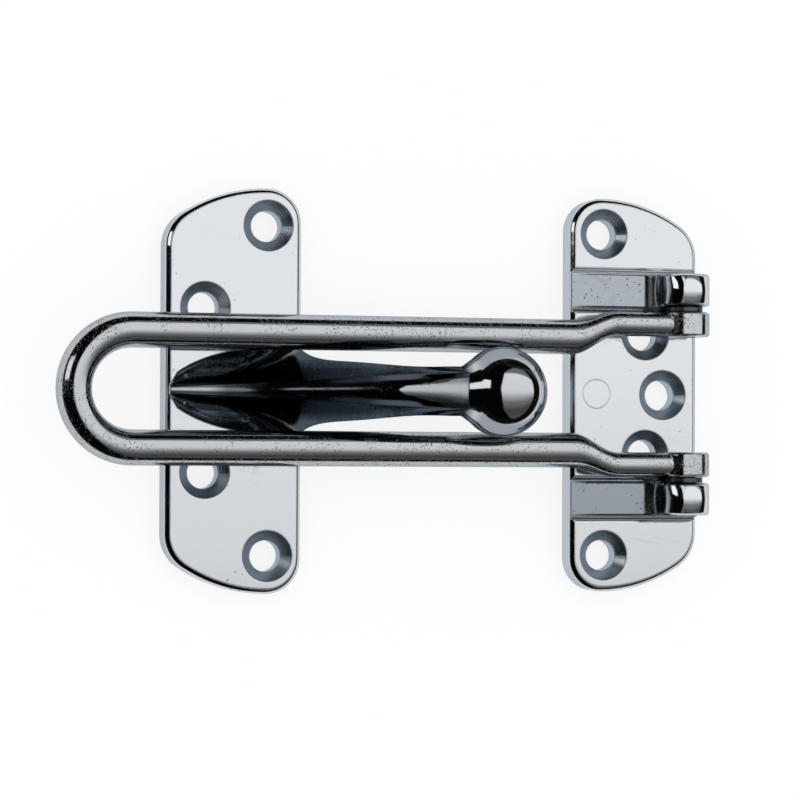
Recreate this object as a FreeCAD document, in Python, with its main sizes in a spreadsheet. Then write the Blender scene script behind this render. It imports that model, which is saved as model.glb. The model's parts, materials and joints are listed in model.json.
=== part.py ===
import FreeCAD, Part
import math
import os
import Sketcher
from FreeCAD import Placement, Rotation, Vector

# Door restrictor with a swinging bar, in millimetres.
# The hinge plate's back lies on z = 0 and its centre is the origin. X runs along the bar,
# with the ball plate on the negative side, and the hinge pins lie along Y.

document = FreeCAD.newDocument("door_restrictor")

# Driving dimensions
sizes = {
    # both plates
    "plate_width": 24.0,
    "plate_height": 70.0,
    "plate_thickness": 4.5,
    "inner_corner_radius": 6.0,
    "long_curve_radius": 27.0,
    "outer_corner_radius": 7.0,
    "plate_edge_bevel": 0.9,
    # countersunk screw holes
    "screw_hole_radius": 2.7,
    "countersink_radius": 4.45,
    "hinge_end_hole_inset": 6.2,
    "hinge_end_hole_margin": 6.4,
    "hinge_middle_hole_inset": 6.6,
    "hinge_side_hole_inset": 9.9,
    "hinge_side_hole_offset": 10.7,
    "ball_end_hole_inset": 6.0,
    "ball_end_hole_margin": 6.5,
    "ball_side_hole_inset": 6.9,
    "ball_side_hole_offset": 14.2,
    # round mark on the hinge plate
    "mark_radius": 2.65,
    "mark_line_width": 0.16,
    "mark_depth": 0.08,
    "mark_inset": 4.8,
    # hinge lugs
    "knuckle_radius": 4.4,
    "pin_height": 9.5,
    "lug_inner": 15.65,
    "lug_thickness": 5.7,
    "lug_root_margin": 0.35,
    "ramp_angle": 2.5,
    "lug_hollow_radius": 3.2,
    "lug_hollow_reach": 7.2,
    "lug_edge_bevel": 0.35,
    # pins and washers
    "pin_radius": 2.0,
    "pin_clearance": 0.05,
    "pin_chamfer": 0.3,
    "washer_radius": 3.2,
    "washer_thickness": 0.95,
    "washer_clearance": 0.05,
    # swinging bar
    "rod_radius": 3.05,
    "rod_spacing": 19.9,
    "loop_length": 100.0,
    "eye_radius": 4.4,
    "eye_thickness": 4.35,
    "eye_edge_bevel": 0.35,
    "arm_bar_half_height": 3.0,
    "arm_bar_fullness": 0.86,
    "crank_start": 21.2,
    "crank_length": 8.2,
    # ball plate, arm and ball
    "ball_plate_distance": 73.5,
    "ball_radius": 7.8,
    "ball_height": 15.6,
    "ball_reach": 32.88,
    "arm_tip_inset": 0.7,
    "arm_tip_height": 0.75,
    "arm_tip_half_width": 0.7,
    "arm_nose_turn": 20.0,
    "arm_rim_height": 0.4,
    "arm_rim_half_width": 2.0,
    "arm_foot_half_width": 7.6,
    "arm_web_inset": 0.6,
    "flank_hollow": 0.13,
    "flank_hollow_fade": 0.8,
    "arm_rise_start": 9.5,
    "arm_rise_length": 33.0,
    "arm_crest_tip_width": 0.9,
    "arm_crest_neck_width": 4.3,
    "arm_shoulder_start": 0.15,
    "arm_shoulder_width": 1.0,
    "arm_shoulder_drop": 0.8,
    "arm_root_half_width": 5.6,
    "arm_web_length": 2.0,
    "arm_under_taper": 0.35,
    "arm_crown": 0.18,
    "arm_end_depth": 3.1,
    "neck_half_width": 3.9,
    "neck_top": 4.3,
    "neck_bottom": 3.9,
    "collar_root_radius": 3.5,
    "collar_length": 3.2,
    "collar_radius": 5.7,
}

sheet = document.addObject("Spreadsheet::Sheet", "sizes")
for row, (name, value) in enumerate(sizes.items(), start=1):
    sheet.set("A%d" % row, name)
    sheet.set("B%d" % row, str(value))
    sheet.setAlias("B%d" % row, name)
document.recompute()


def size(name):
    return float(sheet.get(name))


def bind(item, **expressions):
    # ties each property of an object to cells of the sheet
    for path, text in expressions.items():
        item.setExpression(path.replace("__", "."), text)


def place(item, x="0", y="0", z="0", rotation=None):
    item.Placement = Placement(Vector(0, 0, 0), rotation or Rotation())
    bind(item, Placement__Base__x=x, Placement__Base__y=y, Placement__Base__z=z)


def originPlane(body, role):
    return next(plane for plane in body.Origin.OriginFeatures if plane.Role == role)


def newSketch(body, name, role, offset="0"):
    # a sketch on one of the body's own origin planes, moved along its normal by an expression
    sketch = body.newObject("Sketcher::SketchObject", name)
    sketch.AttachmentSupport = [(originPlane(body, role), "")]
    sketch.MapMode = "FlatFace"
    sketch.setExpression(".AttachmentOffset.Base.z", offset)
    return sketch


def drive(sketch, kind, *references, value, expression, name):
    # a named driving dimension in a sketch
    index = sketch.addConstraint(Sketcher.Constraint(kind, *references, value))
    sketch.renameConstraint(index, name)
    sketch.setExpression("Constraints." + name, expression)


def edgesOf(shape, test):
    return ["Edge%d" % (i + 1) for i, edge in enumerate(shape.Edges) if test(edge)]


def onAxis(sketch, index, end, axis):
    # holds a point on the sketch's own horizontal (X) or vertical (Y) axis
    sketch.addConstraint(Sketcher.Constraint("PointOnObject", index, end, -1 if axis == "X" else -2))


alongY = Rotation(Vector(1, 0, 0), -90)
alongX = Rotation(Vector(0, 1, 0), 90)


# Outline shared by both plates
# The inner edge faces the other plate and has tight corners; the outer edge is reached by a long curve.
def plateOutline(body, side):
    width, height = size("plate_width"), size("plate_height")
    inner, long, outer = size("inner_corner_radius"), size("long_curve_radius"), size("outer_corner_radius")
    longY = height / 2 - long
    outerY = longY + math.sqrt((long - outer) ** 2 - (width - inner - outer) ** 2)
    meet = math.atan2(outerY - longY, width - inner - outer)
    innerX, outerX = side * -width / 2, side * width / 2
    innerCentreX = innerX + side * inner
    outerCentreX = outerX - side * outer

    def arc(x, y, radius, first, last):
        if side < 0:
            first, last = math.pi - last, math.pi - first
        return Part.ArcOfCircle(Part.Circle(Vector(x, y, 0), Vector(0, 0, 1), radius), first, last)

    half = math.pi / 2
    innerEnd = height / 2 - inner
    sketch = newSketch(body, "outline", "XY_Plane")
    sketch.addGeometry([
        Part.LineSegment(Vector(innerX, -innerEnd, 0), Vector(innerX, innerEnd, 0)),
        arc(innerCentreX, innerEnd, inner, half, math.pi),
        arc(innerCentreX, longY, long, meet, half),
        arc(outerCentreX, outerY, outer, 0, meet),
        Part.LineSegment(Vector(outerX, outerY, 0), Vector(outerX, -outerY, 0)),
        arc(outerCentreX, -outerY, outer, -meet, 0),
        arc(innerCentreX, -longY, long, -half, -meet),
        arc(innerCentreX, -innerEnd, inner, -math.pi, -half)], False)
    edges = range(sketch.GeometryCount)
    innerLine, innerTop, longTop, outerTop, outerLine, outerLow, longLow, innerLow = edges
    # an arc runs anticlockwise, so its two ends change places on the mirrored plate
    first, last = (1, 2) if side > 0 else (2, 1)
    joints = [(innerLine, 2, innerTop, last), (innerTop, first, longTop, last),
              (longTop, first, outerTop, last), (outerTop, first, outerLine, 1),
              (outerLine, 2, outerLow, last), (outerLow, first, longLow, last),
              (longLow, first, innerLow, last), (innerLow, first, innerLine, 1)]
    for a, endA, b, endB in joints:
        sketch.addConstraint(Sketcher.Constraint("Tangent", a, endA, b, endB))
    sketch.addConstraint(Sketcher.Constraint("Symmetric", innerLine, 1, innerLine, 2, -1))
    sketch.addConstraint(Sketcher.Constraint("Vertical", outerLine))
    sketch.addConstraint(Sketcher.Constraint("Vertical", innerTop, 3, longTop, 3))
    sketch.addConstraint(Sketcher.Constraint("Vertical", longLow, 3, innerLow, 3))
    left, right = (innerLine, outerLine) if side > 0 else (outerLine, innerLine)
    drive(sketch, "DistanceX", left, 1, -1, 1, value=width / 2,
          expression="sizes.plate_width / 2", name="left_half")
    drive(sketch, "DistanceX", -1, 1, right, 1, value=width / 2,
          expression="sizes.plate_width / 2", name="right_half")
    drive(sketch, "DistanceY", innerLow, last, innerTop, first, value=height,
          expression="sizes.plate_height", name="full_height")
    corners = [(innerTop, inner, "inner_corner_radius"), (longTop, long, "long_curve_radius"),
               (outerTop, outer, "outer_corner_radius"), (outerLow, outer, "outer_corner_radius"),
               (longLow, long, "long_curve_radius"), (innerLow, inner, "inner_corner_radius")]
    for index, radius, alias in corners:
        drive(sketch, "Radius", index, value=radius, expression="sizes." + alias, name="radius_%d" % index)
    return sketch


def plateSlab(body, side):
    slab = body.newObject("PartDesign::Pad", "slab")
    slab.Profile = plateOutline(body, side)
    bind(slab, Length="sizes.plate_thickness")
    document.recompute()
    top = size("plate_thickness")
    bevelled = body.newObject("PartDesign::Chamfer", "bevelled_edge")
    bevelled.Base = (slab, edgesOf(slab.Shape, lambda edge: edge.BoundBox.ZMin > top - 0.01))
    bind(bevelled, Size="sizes.plate_edge_bevel")
    document.recompute()
    return bevelled


def screwHoles(body, centres):
    # centres: (x value, x expression, y value, y expression) of each hole
    sketch = newSketch(body, "hole_circles", "XY_Plane")
    for index, (x, xText, y, yText) in enumerate(centres):
        sketch.addGeometry(Part.Circle(Vector(x, y, 0), Vector(0, 0, 1), size("screw_hole_radius")), False)
        drive(sketch, "Radius", index, value=size("screw_hole_radius"),
              expression="sizes.screw_hole_radius", name="hole_%d_radius" % index)
        drive(sketch, "DistanceX", -1, 1, index, 3, value=x, expression=xText, name="hole_%d_x" % index)
        if y == 0:
            onAxis(sketch, index, 3, "X")
        else:
            drive(sketch, "DistanceY", -1, 1, index, 3, value=y, expression=yText, name="hole_%d_y" % index)
    document.recompute()
    before = body.Shape.Volume
    holes = body.newObject("PartDesign::Pocket", "screw_holes")
    holes.Profile = sketch
    holes.Reversed = True
    bind(holes, Length="sizes.plate_thickness * 2")
    document.recompute()
    drilled = before - holes.Shape.Volume
    expected = len(centres) * math.pi * size("screw_hole_radius") ** 2 * size("plate_thickness")
    if abs(drilled - expected) > 0.02 * expected:
        raise ValueError("the screw holes don't go through the plate")
    # each countersink is a cone of 90 degrees, open at the plate's face
    for index, (x, xText, y, yText) in enumerate(centres):
        cone = body.newObject("PartDesign::SubtractiveCone", "countersink_%d" % (index + 1))
        cone.AttachmentSupport = [(originPlane(body, "XY_Plane"), "")]
        cone.MapMode = "FlatFace"
        bind(cone, Radius1="sizes.screw_hole_radius", Radius2="sizes.countersink_radius",
             Height="sizes.countersink_radius - sizes.screw_hole_radius",
             AttachmentOffset__Base__x=xText, AttachmentOffset__Base__y=yText,
             AttachmentOffset__Base__z="sizes.plate_thickness - (sizes.countersink_radius"
             " - sizes.screw_hole_radius)")
    document.recompute()
    return cone


# Side profile of one lug up to its knuckle, in the plane across the hinge: flat foot and hollow rise
def lugProfile(body):
    half, top = size("plate_width") / 2, size("plate_thickness")
    knuckle, hollow, pinZ = size("knuckle_radius"), size("lug_hollow_radius"), size("pin_height")
    slope = math.radians(size("ramp_angle"))
    centre = Vector(half - knuckle, pinZ, 0)
    corner = Vector(-half, top, 0)
    along = Vector(math.cos(slope), math.sin(slope), 0)
    upward = Vector(-math.sin(slope), math.cos(slope), 0)
    # the hollow touches the ramp and runs into the knuckle's lower left side
    hollowX = centre.x - size("lug_hollow_reach")
    foot = corner + along * ((hollowX - corner.x - upward.x * hollow) / along.x)
    hollowCentre = foot + upward * hollow
    toHollow = hollowCentre - centre
    apart = toHollow.Length
    inward = (apart ** 2 + knuckle ** 2 - hollow ** 2) / (2 * apart)
    aside = math.sqrt(knuckle ** 2 - inward ** 2)
    toHollow.normalize()
    meeting = centre + toHollow * inward + Vector(-toHollow.y, toHollow.x, 0) * aside
    footAngle = slope - math.pi / 2
    meetAngle = math.atan2(meeting.y - hollowCentre.y, meeting.x - hollowCentre.x)
    up = Vector(0, 0, 1)
    sketch = newSketch(body, "lug_profile", "XZ_Plane", "-sizes.lug_inner")
    sketch.addGeometry([
        Part.LineSegment(Vector(-half, 0, 0), corner),
        Part.LineSegment(corner, foot),
        Part.ArcOfCircle(Part.Circle(hollowCentre, up, hollow), footAngle, meetAngle),
        Part.LineSegment(meeting, centre),
        Part.LineSegment(centre, Vector(centre.x, 0, 0)),
        Part.LineSegment(Vector(centre.x, 0, 0), Vector(-half, 0, 0))], False)
    leftWall, ramp, hollowArc, spoke, drop, base = range(sketch.GeometryCount)
    for a, b in [(leftWall, ramp), (hollowArc, spoke), (spoke, drop), (drop, base), (base, leftWall)]:
        sketch.addConstraint(Sketcher.Constraint("Coincident", a, 2, b, 1))
    sketch.addConstraint(Sketcher.Constraint("Tangent", ramp, 2, hollowArc, 1))
    for wall in (leftWall, drop):
        sketch.addConstraint(Sketcher.Constraint("Vertical", wall))
    onAxis(sketch, leftWall, 1, "X")
    sketch.addConstraint(Sketcher.Constraint("Horizontal", base))
    drive(sketch, "DistanceX", leftWall, 1, -1, 1, value=half, expression="sizes.plate_width / 2", name="left")
    drive(sketch, "DistanceX", -1, 1, drop, 1, value=centre.x,
          expression="sizes.plate_width / 2 - sizes.knuckle_radius", name="pin_x")
    drive(sketch, "DistanceY", leftWall, 1, leftWall, 2, value=top,
          expression="sizes.plate_thickness", name="foot_height")
    drive(sketch, "Angle", -1, 1, ramp, 1, value=slope, expression="sizes.ramp_angle * 1 deg", name="ramp")
    drive(sketch, "Radius", hollowArc, value=hollow, expression="sizes.lug_hollow_radius", name="hollow")
    drive(sketch, "DistanceX", hollowArc, 3, drop, 1, value=size("lug_hollow_reach"),
          expression="sizes.lug_hollow_reach", name="hollow_reach")
    drive(sketch, "DistanceY", -1, 1, drop, 1, value=pinZ, expression="sizes.pin_height", name="pin_height")
    drive(sketch, "Distance", spoke, value=knuckle, expression="sizes.knuckle_radius", name="knuckle")
    return sketch


# A closed sketch of straight lines, each corner held by its distances from the origin
def polygonSketch(body, name, role, offset, loops):
    sketch = newSketch(body, name, role, offset)
    for loop in loops:
        first = sketch.GeometryCount
        count = len(loop)
        for step in range(count):
            xa, _, ya, _ = loop[step]
            xb, _, yb, _ = loop[(step + 1) % count]
            sketch.addGeometry(Part.LineSegment(Vector(xa, ya, 0), Vector(xb, yb, 0)), False)
        for step in range(count):
            following = first + (step + 1) % count
            sketch.addConstraint(Sketcher.Constraint("Coincident", first + step, 2, following, 1))
        for step, (x, xText, y, yText) in enumerate(loop):
            corner = first + step
            if x == 0:
                onAxis(sketch, corner, 1, "Y")
            else:
                drive(sketch, "DistanceX", -1, 1, corner, 1, value=x, expression=xText,
                      name="corner_%d_x" % corner)
            if y == 0:
                onAxis(sketch, corner, 1, "X")
            else:
                drive(sketch, "DistanceY", -1, 1, corner, 1, value=y, expression=yText,
                      name="corner_%d_y" % corner)
    return sketch


# Hinge plate: one casting with two lugs
def makeHingePlate():
    body = document.addObject("PartDesign::Body", "hinge_plate")
    plateSlab(body, 1)
    inner, thick, margin = size("lug_inner"), size("lug_thickness"), size("lug_root_margin")
    top, bevel, half = size("plate_thickness"), size("plate_edge_bevel"), size("plate_width") / 2
    rootIn, rootOut = inner - margin, inner + thick + margin
    rootInText = "(sizes.lug_inner - sizes.lug_root_margin)"
    rootOutText = "(sizes.lug_inner + sizes.lug_thickness + sizes.lug_root_margin)"
    topText, bevelText = "sizes.plate_thickness", "sizes.plate_edge_bevel"

    # bevels that part the raised middle and end pads from the lugs
    bevels = []
    for sign, signText in ((1, ""), (-1, "-1 * ")):
        for edge, edgeText, away in ((rootIn, rootInText, -1), (rootOut, rootOutText, 1)):
            awayText = " + " if away > 0 else " - "
            bevels.append([
                (sign * edge, signText + edgeText, top - bevel, topText + " - " + bevelText),
                (sign * (edge + away * bevel * 2), signText + "(" + edgeText + awayText + bevelText + " * 2)",
                 top + bevel, topText + " + " + bevelText),
                (sign * edge, signText + edgeText, top + bevel, topText + " + " + bevelText)])
    grooves = body.newObject("PartDesign::Pocket", "pad_bevels")
    grooves.Profile = polygonSketch(body, "bevel_sections", "YZ_Plane", "0", bevels)
    grooves.Midplane = True
    bind(grooves, Length="sizes.plate_width * 2")
    document.recompute()

    # the strip under each lug keeps the plate's full height out to its inner edge
    left, right = "-sizes.plate_width / 2", "sizes.plate_width / 2"
    strip = [(-half, left, 0, "0"), (half, right, 0, "0"),
             (half, right, top, topText), (-half, left, top, topText)]
    root = body.newObject("PartDesign::Pad", "lug_root")
    root.Profile = polygonSketch(body, "lug_root_profile", "XZ_Plane", "-1 * " + rootInText, [strip])
    root.Reversed = True
    bind(root, Length="sizes.lug_thickness + 2 * sizes.lug_root_margin")
    lug = body.newObject("PartDesign::Pad", "lug")
    lug.Profile = lugProfile(body)
    lug.Reversed = True
    bind(lug, Length="sizes.lug_thickness")

    # the knuckle is a round boss with bevelled rims, and its foot goes straight down to the plate
    pinX, pinText = half - size("knuckle_radius"), "sizes.plate_width / 2 - sizes.knuckle_radius"
    rim, radius, outer = size("lug_edge_bevel"), size("knuckle_radius"), inner + thick
    rimText, radiusText = "sizes.lug_edge_bevel", "sizes.knuckle_radius"
    innerText, outerText = "sizes.lug_inner", "sizes.lug_inner + sizes.lug_thickness"
    foot = body.newObject("PartDesign::Pad", "knuckle_foot")
    foot.Profile = polygonSketch(body, "knuckle_foot_outline", "XY_Plane", "0", [[
        (pinX, pinText, inner, innerText),
        (half - rim, right + " - " + rimText, inner, innerText),
        (half, right, inner + rim, innerText + " + " + rimText),
        (half, right, outer - rim, outerText + " - " + rimText),
        (half - rim, right + " - " + rimText, outer, outerText),
        (pinX, pinText, outer, outerText)]])
    bind(foot, Length="sizes.pin_height")
    section = polygonSketch(body, "knuckle_section", "YZ_Plane", pinText, [[
        (inner, innerText, 0, "0"),
        (outer, outerText, 0, "0"),
        (outer, outerText, radius - rim, radiusText + " - " + rimText),
        (outer - rim, outerText + " - " + rimText, radius, radiusText),
        (inner + rim, innerText + " + " + rimText, radius, radiusText),
        (inner, innerText, radius - rim, radiusText + " - " + rimText)]])
    section.setExpression(".AttachmentOffset.Base.y", "sizes.pin_height")
    knuckle = body.newObject("PartDesign::Revolution", "knuckle")
    knuckle.Profile = section
    knuckle.ReferenceAxis = (section, ["H_Axis"])
    knuckle.Angle = 360
    document.recompute()
    pair = body.newObject("PartDesign::Mirrored", "lug_pair")
    pair.Originals = [root, lug, foot, knuckle]
    pair.MirrorPlane = (originPlane(body, "XZ_Plane"), [""])
    body.Tip = pair
    document.recompute()

    ends = ("-sizes.plate_width / 2 + sizes.hinge_end_hole_inset",
            "(sizes.plate_height / 2 - sizes.hinge_end_hole_margin)")
    sides = ("sizes.plate_width / 2 - sizes.hinge_side_hole_inset", "sizes.hinge_side_hole_offset")
    endX, endY = -half + size("hinge_end_hole_inset"), size("plate_height") / 2 - size("hinge_end_hole_margin")
    sideX, sideY = half - size("hinge_side_hole_inset"), size("hinge_side_hole_offset")
    middleX = half - size("hinge_middle_hole_inset")
    screwHoles(body, [
        (endX, ends[0], endY, ends[1]), (endX, ends[0], -endY, "-1 * " + ends[1]),
        (sideX, sides[0], sideY, sides[1]), (sideX, sides[0], -sideY, "-1 * " + sides[1]),
        (middleX, "sizes.plate_width / 2 - sizes.hinge_middle_hole_inset", 0, "0")])

    # a fine ring pressed into the face
    markX = -half + size("mark_inset")
    markText = "-sizes.plate_width / 2 + sizes.mark_inset"
    ring = newSketch(body, "mark_ring", "XY_Plane", "sizes.plate_thickness")
    rings = [("mark_radius", "sizes.mark_radius", size("mark_radius")),
             ("mark_inside", "sizes.mark_radius - sizes.mark_line_width",
              size("mark_radius") - size("mark_line_width"))]
    for index, (name, text, radius) in enumerate(rings):
        ring.addGeometry(Part.Circle(Vector(markX, 0, 0), Vector(0, 0, 1), radius), False)
        drive(ring, "Radius", index, value=radius, expression=text, name=name)
        drive(ring, "DistanceX", -1, 1, index, 3, value=markX, expression=markText, name="x_%d" % index)
        onAxis(ring, index, 3, "X")
    mark = body.newObject("PartDesign::Pocket", "mark")
    mark.Profile = ring
    bind(mark, Length="sizes.mark_depth")
    document.recompute()

    # pin bore through both lugs
    boreSketch = newSketch(body, "pin_bore_circle", "XZ_Plane")
    boreRadius = size("pin_radius") + size("pin_clearance")
    pinZ = size("pin_height")
    boreSketch.addGeometry(Part.Circle(Vector(pinX, pinZ, 0), Vector(0, 0, 1), boreRadius), False)
    drive(boreSketch, "Radius", 0, value=boreRadius,
          expression="sizes.pin_radius + sizes.pin_clearance", name="bore")
    drive(boreSketch, "DistanceX", -1, 1, 0, 3, value=pinX, expression=pinText, name="x")
    drive(boreSketch, "DistanceY", -1, 1, 0, 3, value=pinZ, expression="sizes.pin_height", name="z")
    before = body.Shape.Volume
    bore = body.newObject("PartDesign::Pocket", "pin_bore")
    bore.Profile = boreSketch
    bore.Midplane = True
    bind(bore, Length="sizes.plate_height")
    document.recompute()
    if before - bore.Shape.Volume < math.pi * boreRadius ** 2 * thick * 1.9:
        raise ValueError("the pin bore doesn't go through both lugs")
    return body


# Ball plate: one casting whose ridged arm carries the ball
# Its own frame has the plate's centre at the origin; the arm runs towards positive X.
def smooth(share):
    share = min(1.0, max(0.0, share))
    return share * share * (3 - 2 * share)


def armOutline(x):
    # the arm's section at x: upright sides, hollow flanks, a bevel each side and a crowned crest
    half, top = size("plate_width") / 2, size("plate_thickness")
    tip, end = -half + size("arm_tip_inset"), half + size("ball_reach")
    run = (x - tip) / (end - size("ball_radius") - tip)
    rise = smooth((x + half - size("arm_rise_start")) / size("arm_rise_length"))
    low, high = top + size("arm_tip_height"), size("ball_height") + size("neck_top")
    crestZ = low + (high - low) * rise
    crest = (size("arm_crest_tip_width") * (1 - run) + size("arm_crest_neck_width") * run) / 2
    bevel = size("arm_shoulder_start") * (1 - rise) + rise
    shoulder = crest + size("arm_shoulder_width") * bevel
    shoulderZ = crestZ - size("arm_shoulder_drop") * bevel
    root = half - size("arm_web_inset")
    if x <= root:
        # on the plate the foot spreads as a quarter of an ellipse
        share = 1 - (x - tip) / (root - tip)
        spread = size("arm_foot_half_width") - size("arm_tip_half_width")
        foot = size("arm_tip_half_width") + spread * math.sqrt(max(0, 1 - share * share))
        footZ, baseZ = top + size("arm_rim_height") * min(1, foot / size("arm_rim_half_width")), top / 2
    else:
        # beyond it the root narrows quickly to the neck, and the underside lifts
        beyond = x - root
        reach = size("ball_reach") - size("ball_radius")
        taper = min(1, beyond / reach)
        straight = size("arm_root_half_width") * (1 - taper) + size("neck_half_width") * taper
        web = size("arm_foot_half_width") - size("arm_root_half_width")
        foot = straight + web * math.exp(-beyond / size("arm_web_length"))
        lift = smooth(beyond / reach)
        rootZ, under = top + size("arm_rim_height"), size("ball_height") - size("neck_bottom")
        baseZ = top / 2 + (under - top / 2) * lift
        footZ = rootZ + (size("ball_height") - rootZ) * lift
    base = foot * (1 - size("arm_under_taper") * smooth((x - root) / size("ball_reach")))
    length = math.hypot(foot - shoulder, shoulderZ - footZ)
    fade = size("flank_hollow_fade") * smooth((x - half) / size("ball_reach"))
    depth = size("flank_hollow") * length * (1 - fade)
    inwardY, inwardZ = (shoulderZ - footZ) / length * depth, (foot - shoulder) / length * depth
    bend = ((foot + shoulder) / 2 - 2 * inwardY, (footZ + shoulderZ) / 2 - 2 * inwardZ)
    crownZ = crestZ - crest * size("arm_crown")
    corners = [(base, baseZ), (foot, footZ), (shoulder, shoulderZ), (crest, crownZ)]
    right = [Vector(x, y, z) for y, z in corners]
    left = [Vector(x, -y, z) for y, z in corners]

    def curve(*poles):
        bezier = Part.BezierCurve()
        bezier.setPoles(list(poles))
        return bezier

    edges = [
        Part.LineSegment(left[0], right[0]),
        Part.LineSegment(right[0], right[1]),
        curve(right[1], Vector(x, *bend), right[2]),
        Part.LineSegment(right[2], right[3]),
        curve(right[3], Vector(x, 0, 2 * crestZ - crownZ), left[3]),
        Part.LineSegment(left[3], left[2]),
        curve(left[2], Vector(x, -bend[0], bend[1]), left[1]),
        Part.LineSegment(left[1], left[0])]
    return Part.Wire([edge.toShape() for edge in edges])


def makeBallPlate():
    slab = document.addObject("PartDesign::Body", "ball_slab")
    plateSlab(slab, -1)
    half = size("plate_width") / 2
    endX, endY = half - size("ball_end_hole_inset"), size("plate_height") / 2 - size("ball_end_hole_margin")
    sideX, sideY = -half + size("ball_side_hole_inset"), size("ball_side_hole_offset")
    ends = ("sizes.plate_width / 2 - sizes.ball_end_hole_inset",
            "(sizes.plate_height / 2 - sizes.ball_end_hole_margin)")
    sides = ("-sizes.plate_width / 2 + sizes.ball_side_hole_inset", "sizes.ball_side_hole_offset")
    screwHoles(slab, [
        (endX, ends[0], endY, ends[1]), (endX, ends[0], -endY, "-1 * " + ends[1]),
        (sideX, sides[0], sideY, sides[1]), (sideX, sides[0], -sideY, "-1 * " + sides[1])])

    # the arm's nose has flat facets; from there its foot follows the ellipse in even turns
    tip, root = -half + size("arm_tip_inset"), half - size("arm_web_inset")
    neck = half + size("ball_reach") - size("ball_radius") + size("arm_end_depth")
    noseTurn = math.radians(size("arm_nose_turn"))
    turns = [noseTurn + (math.pi / 2 - noseTurn) * step / 3 for step in range(4)]
    onPlate = [tip + (root - tip) * (1 - math.cos(turn)) for turn in turns]
    beyond = [root + (neck - root) * share for share in (0, 0.06, 0.18, 0.45, 0.72, 1)]
    arm = document.addObject("Part::Feature", "arm")
    nose = Part.makeLoft([armOutline(tip), armOutline(onPlate[0])], True, True)
    flanks = Part.makeLoft([armOutline(x) for x in onPlate], True, False)
    bridge = Part.makeLoft([armOutline(x) for x in beyond], True, False)
    arm.Shape = nose.fuse([flanks, bridge])

    ball = document.addObject("Part::Sphere", "ball")
    bind(ball, Radius="sizes.ball_radius")
    ballX = "sizes.plate_width / 2 + sizes.ball_reach"
    place(ball, x=ballX, z="sizes.ball_height", rotation=alongX)
    collar = document.addObject("Part::Cone", "collar")
    bind(collar, Radius1="sizes.collar_root_radius", Radius2="sizes.collar_radius",
         Height="sizes.collar_length")
    flat = "sqrt(sizes.ball_radius ^ 2 - sizes.collar_radius ^ 2)"
    place(collar, x=ballX + " - " + flat + " - sizes.collar_length", z="sizes.ball_height", rotation=alongX)

    ballArm = document.addObject("Part::MultiFuse", "ball_arm")
    ballArm.Shapes = [arm, ball, collar]
    casting = document.addObject("Part::Fuse", "ball_plate")
    casting.Base = slab
    casting.Tool = ballArm
    bind(casting, Placement__Base__x="-sizes.ball_plate_distance")
    return casting


# Swinging bar: a loop of round rod with cranked, flattened ends and round eyes
def eyeMiddle():
    return (size("lug_inner") - size("washer_thickness") - 2 * size("washer_clearance")
            - size("eye_thickness") / 2)


def barSection(x, y, halfWidth, halfHeight, fullness):
    # an oval of four arcs: a true circle when fullness is the sine of 45 degrees
    z = size("pin_height")

    def point(across, up):
        return Vector(x, y + across, z + up)

    cornerY, cornerZ = halfWidth * fullness, halfHeight * math.sqrt(0.5)
    corners = [point(cornerY, cornerZ), point(-cornerY, cornerZ),
               point(-cornerY, -cornerZ), point(cornerY, -cornerZ)]
    middles = [point(0, halfHeight), point(-halfWidth, 0), point(0, -halfHeight), point(halfWidth, 0)]
    arcs = [Part.Arc(corners[i], middles[i], corners[(i + 1) % 4]).toShape() for i in range(4)]
    return Part.Wire(arcs)


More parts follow.
